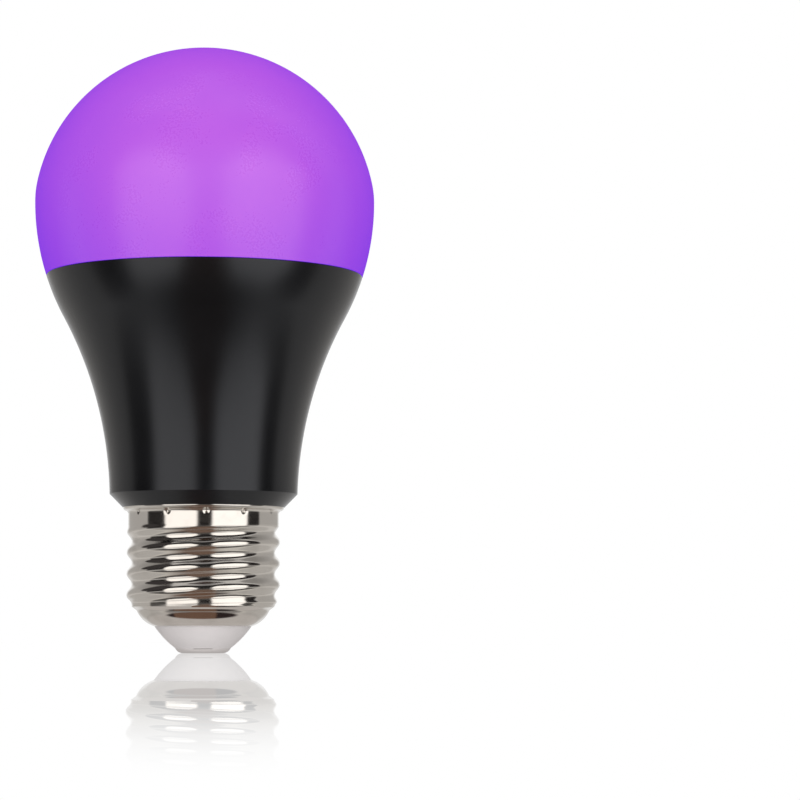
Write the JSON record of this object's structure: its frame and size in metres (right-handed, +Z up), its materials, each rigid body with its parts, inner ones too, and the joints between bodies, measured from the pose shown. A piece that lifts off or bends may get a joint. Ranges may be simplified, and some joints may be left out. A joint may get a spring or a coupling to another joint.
{
  "type": "ultraviolet light bulb",
  "caption": "Round-topped ultraviolet light bulb with a violet dome, a waisted black housing and a bright rolled screw cap.",
  "frame": {"origin": "centre of the flat bottom of the centre contact, where the bulb stands, on its axis", "axes": "+Z up the bulb's axis from the centre contact to the top of the dome; the picture looks along +Y"},
  "size_m": [0.0584, 0.0584, 0.1042],
  "materials": {
    "diffuser": "satin violet",
    "housing": "satin black",
    "shell_plating": "bright nickel plate",
    "insulator": "pale grey",
    "contact_plating": "dull plate",
    "sink_aluminium": "as pressed",
    "light_board_mask": "white solder mask",
    "light_package": "moulded",
    "screw_steel": "zinc plate",
    "pin_brass": "tinned",
    "socket_plastic": "natural",
    "driver_laminate": "green solder mask",
    "film_case": "yellow",
    "can_sleeve": "black sleeve",
    "package_black": "moulded",
    "resistor_ceramic": "glazed",
    "ferrite": "sintered",
    "bobbin_plastic": "moulded",
    "winding_copper": "enamelled copper",
    "resistor_coat": "flameproof coat",
    "tube_rubber": "shrunk tube",
    "lead_cover": "white"
  },
  "bodies": {
    "root": {"diffuser": "diffuser", "housing": "housing", "screw_shell": "shell_plating", "base_insulator": "insulator", "centre_contact": "contact_plating", "heat_sink": "sink_aluminium", "light_board": "light_board_mask", "lights": "light_package", "board_screws": "screw_steel", "output_pins": "pin_brass", "pin_socket": "socket_plastic", "driver_board": "driver_laminate", "film_capacitor": "film_case", "bulk_capacitor": "can_sleeve", "output_capacitor": "can_sleeve", "bridge_rectifier": "package_black", "driver_chip": "package_black", "chip_resistors": "resistor_ceramic", "choke_core": "ferrite", "choke_bobbin": "bobbin_plastic", "choke_winding": "winding_copper", "fuse_resistor": "resistor_coat", "fuse_tube": "tube_rubber", "neutral_lead": "lead_cover"}
  },
  "joints": []
}
